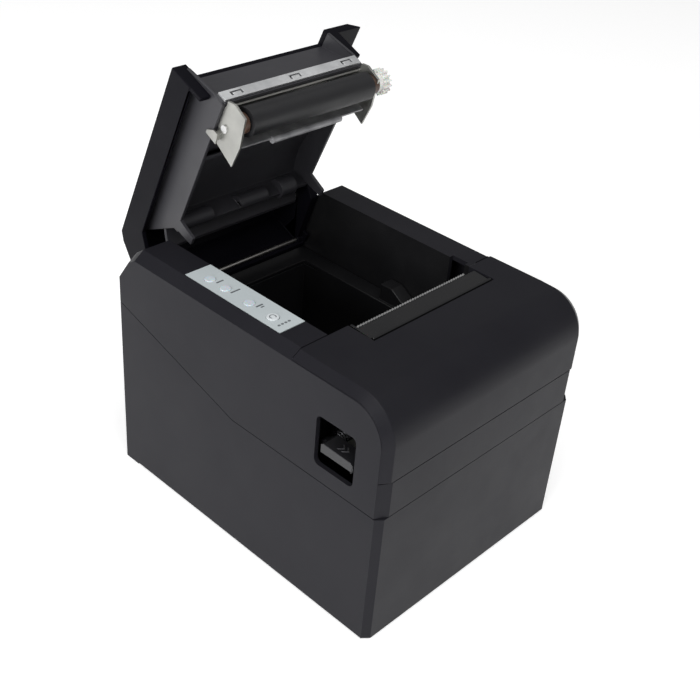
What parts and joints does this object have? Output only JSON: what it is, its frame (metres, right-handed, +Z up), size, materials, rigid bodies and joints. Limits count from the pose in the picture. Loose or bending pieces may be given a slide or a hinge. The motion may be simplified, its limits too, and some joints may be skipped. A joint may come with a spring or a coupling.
{
  "type": "receipt printer",
  "caption": "Black thermal receipt printer with its paper lid open, showing the roller, steel bracket and white gear, with a label panel and a release lever.",
  "frame": {"origin": "middle of the housing's footprint, in the plane under the feet", "axes": "+Z up, front of the printer towards -Y, +X to the right as seen from the front; the lid's hinge runs along X at the rear"},
  "size_m": [0.145, 0.2141, 0.2245],
  "materials": {
    "housing_black": "fine textured matt black",
    "inner_black": "smooth matt black",
    "zinc_steel": "zinc plated sheet",
    "bright_steel": "bright steel",
    "dark_screws": "blackened steel",
    "spring_steel": "drawn wire",
    "aluminium": "milled",
    "ceramic": "glazed ceramic",
    "foot_rubber": "moulded rubber",
    "platen_rubber": "ground rubber",
    "white_nylon": "white nylon",
    "brass": "machined brass",
    "brown_bushing": "dark brown bearing plastic",
    "label_grey": "printed label, light grey blue",
    "lens_white": "milky lens",
    "button_grey": "light grey button",
    "circuit_board": "green board",
    "motor_metal": "plated steel can",
    "socket_black": "black moulding",
    "rocker_black": "glossy black",
    "pillar_nylon": "nylon"
  },
  "bodies": {
    "housing": {"base_shell": "housing_black", "bottom_plate": "inner_black", "rubber_feet": "foot_rubber", "base_screws": "dark_screws", "upper_shell": "housing_black", "front_cover": "housing_black", "exit_lip": "inner_black", "tear_bar": "bright_steel", "indicator_panel": "label_grey", "status_lenses": "lens_white", "panel_board": "circuit_board", "paper_bay": "inner_black", "lower_guide": "inner_black", "mech_frame": "zinc_steel", "mech_screws": "dark_screws", "print_head": "ceramic", "heat_sink": "aluminium", "head_springs": "spring_steel", "spring_bracket": "zinc_steel", "feed_motor": "motor_metal", "gear_stud": "bright_steel", "cutter_frame": "zinc_steel", "cutter_motor": "motor_metal", "cutter_gearbox": "socket_black", "lever_spring": "spring_steel", "main_board": "circuit_board", "board_pillars": "pillar_nylon", "port_panel": "inner_black", "dc_inlet": "socket_black", "serial_socket": "bright_steel", "usb_socket": "socket_black", "drawer_socket": "socket_black", "switch_body": "socket_black", "paper_sensor": "socket_black", "hinge_shaft": "bright_steel"},
    "lid": {"lid_cap": "housing_black", "lid_frame": "inner_black", "lid_screws": "dark_screws", "platen_bracket": "zinc_steel", "platen_bearings": "brown_bushing", "bracket_pins": "bright_steel", "counter_blade": "bright_steel", "paper_guide": "bright_steel"},
    "platen": {"platen_roller": "platen_rubber", "platen_shaft": "bright_steel", "platen_gear": "white_nylon"},
    "drive_gear": {"drive_gear": "white_nylon"},
    "motor_pinion": {"motor_pinion": "brass"},
    "cutter_blade": {"cutter_blade": "bright_steel"},
    "release_latch": {"release_latch": "inner_black"},
    "feed_button": {"feed_button": "button_grey"},
    "power_rocker": {"power_rocker": "rocker_black"}
  },
  "joints": [
    {"name": "lid_hinge", "type": "hinge", "parent": "housing", "child": "lid", "pos_m": [0, 0.0906, 0.096], "axis": [1, 0, 0], "range_deg": [0, 66.4]},
    {"name": "platen_spin", "type": "hinge", "parent": "lid", "child": "platen", "pos_m": [0.0035, 0.03978, 0.20682], "axis": [1, 0, 0], "continuous": true},
    {"name": "release_lever_turn", "type": "hinge", "parent": "housing", "child": "release_latch", "pos_m": [0, -0.052, 0.09], "axis": [1, 0, 0], "range_deg": [0, 12], "stiffness_Nm_per_rad": 0.08, "springref_deg": -17.19},
    {"name": "feed_button_press", "type": "slide", "parent": "housing", "child": "feed_button", "axis": [0, 0, -1], "range_m": [0, 0.0012], "stiffness_N_per_m": 400, "springref_m": -0.001},
    {"name": "power_rocker_turn", "type": "hinge", "parent": "housing", "child": "power_rocker", "pos_m": [-0.0325, 0.088, 0.044], "axis": [0, 0, -1], "range_deg": [0, 12]},
    {"name": "drive_gear_spin", "type": "hinge", "parent": "housing", "child": "drive_gear", "pos_m": [0.05385, -0.0473, 0.0783], "axis": [1, 0, 0], "continuous": true},
    {"name": "pinion_spin", "type": "hinge", "parent": "housing", "child": "motor_pinion", "pos_m": [0.05385, -0.062, 0.06474], "axis": [1, 0, 0], "continuous": true},
    {"name": "cutter_slide", "type": "slide", "parent": "housing", "child": "cutter_blade", "axis": [0, 1, 0], "range_m": [0, 0.0075]}
  ],
  "couplings": [
    {"joint": "pinion_spin", "follows": "drive_gear_spin", "ratio": -2.5714}
  ]
}
